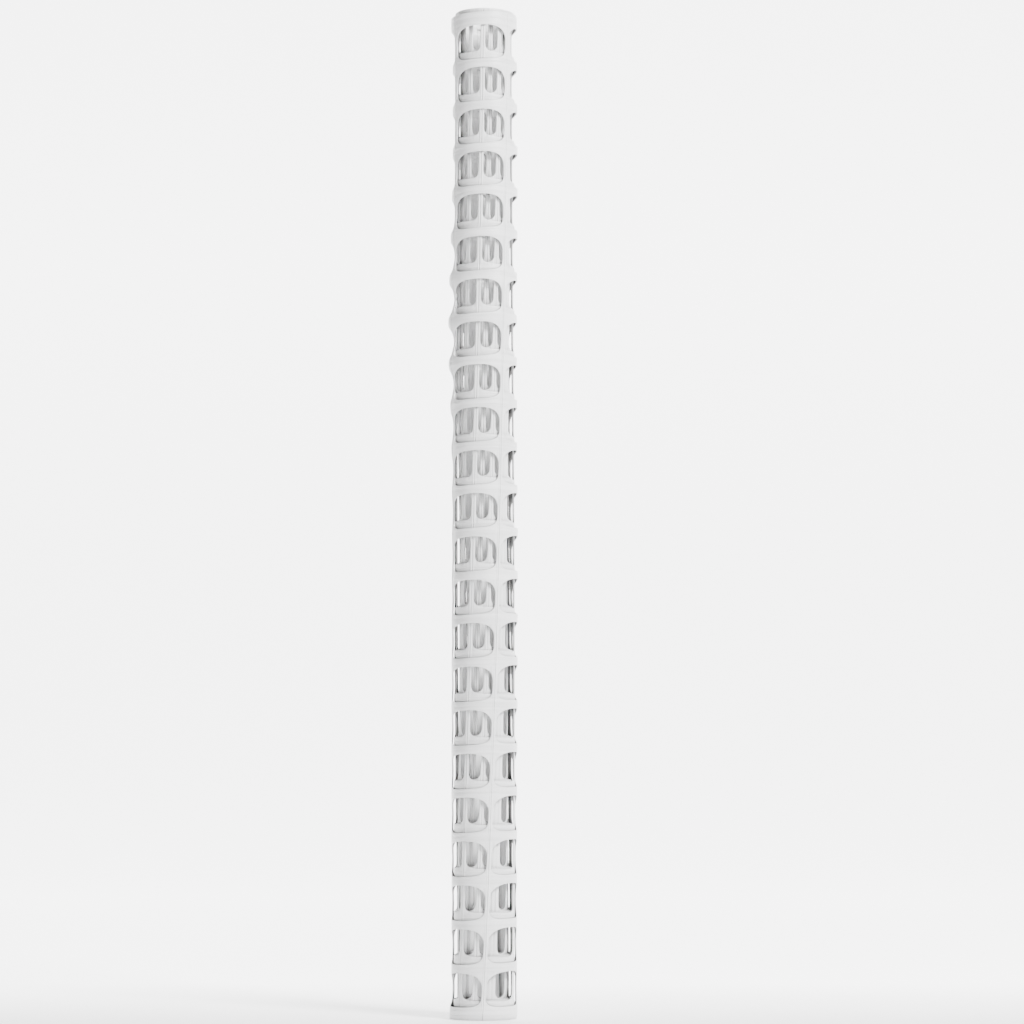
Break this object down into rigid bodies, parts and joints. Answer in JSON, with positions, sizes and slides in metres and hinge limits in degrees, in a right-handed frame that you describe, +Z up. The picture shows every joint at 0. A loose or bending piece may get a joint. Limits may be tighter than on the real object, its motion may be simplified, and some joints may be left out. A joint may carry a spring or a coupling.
{
  "type": "tree guard tube",
  "caption": "Slim upright tube of rolled white plastic mesh, a wrap-around guard for a young trunk; its outer turn peels open on fold lines.",
  "frame": {"origin": "on the tube's axis at its foot, level with the bottom edge of the mesh", "axes": "+Z up along the tube, -Y towards the front; the outer turn's free edge is at the back left"},
  "size_m": [0.0624, 0.0636, 1],
  "materials": {
    "white_polyethylene": "satin white polyethylene, slightly translucent, smooth as extruded"
  },
  "bodies": {
    "roll": {"mesh_panel_01_coreward": "white_polyethylene", "mesh_panel_01_edgeward": "white_polyethylene", "mesh_panel_02_coreward": "white_polyethylene", "mesh_panel_02_edgeward": "white_polyethylene", "mesh_panel_03_coreward": "white_polyethylene", "mesh_panel_03_edgeward": "white_polyethylene", "mesh_panel_04_coreward": "white_polyethylene", "mesh_panel_04_edgeward": "white_polyethylene", "mesh_panel_05_coreward": "white_polyethylene", "mesh_panel_05_edgeward": "white_polyethylene", "mesh_panel_06_coreward": "white_polyethylene", "mesh_panel_06_edgeward": "white_polyethylene", "mesh_panel_07_coreward": "white_polyethylene", "mesh_panel_07_edgeward": "white_polyethylene", "mesh_panel_08_coreward": "white_polyethylene", "mesh_panel_08_edgeward": "white_polyethylene", "mesh_panel_09_coreward": "white_polyethylene", "mesh_panel_09_edgeward": "white_polyethylene", "mesh_panel_10_coreward": "white_polyethylene", "mesh_panel_10_edgeward": "white_polyethylene", "mesh_panel_11_coreward": "white_polyethylene", "mesh_panel_11_edgeward": "white_polyethylene", "mesh_panel_12_coreward": "white_polyethylene", "mesh_panel_12_edgeward": "white_polyethylene", "mesh_panel_13_coreward": "white_polyethylene", "mesh_panel_13_edgeward": "white_polyethylene", "mesh_panel_14_coreward": "white_polyethylene", "mesh_panel_14_edgeward": "white_polyethylene", "mesh_panel_15_coreward": "white_polyethylene", "mesh_panel_15_edgeward": "white_polyethylene", "mesh_panel_16_coreward": "white_polyethylene", "mesh_panel_16_edgeward": "white_polyethylene"},
    "flap_1": {"mesh_panel_17": "white_polyethylene"},
    "flap_2": {"mesh_panel_18": "white_polyethylene"},
    "flap_3": {"mesh_panel_19": "white_polyethylene"},
    "flap_4": {"mesh_panel_20": "white_polyethylene"}
  },
  "joints": [
    {"name": "fold_1", "type": "hinge", "parent": "roll", "child": "flap_1", "pos_m": [-0.02626, 0.0163, 0], "axis": [0, 0, -1], "range_deg": [0, 90], "stiffness_Nm_per_rad": 0.08},
    {"name": "fold_2", "type": "hinge", "parent": "flap_1", "child": "flap_2", "pos_m": [-0.01194, -0.02905, 0], "axis": [0, 0, -1], "range_deg": [0, 90], "stiffness_Nm_per_rad": 0.08},
    {"name": "fold_3", "type": "hinge", "parent": "flap_2", "child": "flap_3", "pos_m": [0.03089, -0.00794, 0], "axis": [0, 0, -1], "range_deg": [0, 90], "stiffness_Nm_per_rad": 0.08},
    {"name": "fold_4", "type": "hinge", "parent": "flap_3", "child": "flap_4", "pos_m": [0.0045, 0.03207, 0], "axis": [0, 0, -1], "range_deg": [0, 90], "stiffness_Nm_per_rad": 0.08}
  ],
  "couplings": [
    {"joint": "fold_2", "follows": "fold_1", "ratio": 1},
    {"joint": "fold_3", "follows": "fold_1", "ratio": 1},
    {"joint": "fold_4", "follows": "fold_1", "ratio": 1}
  ]
}
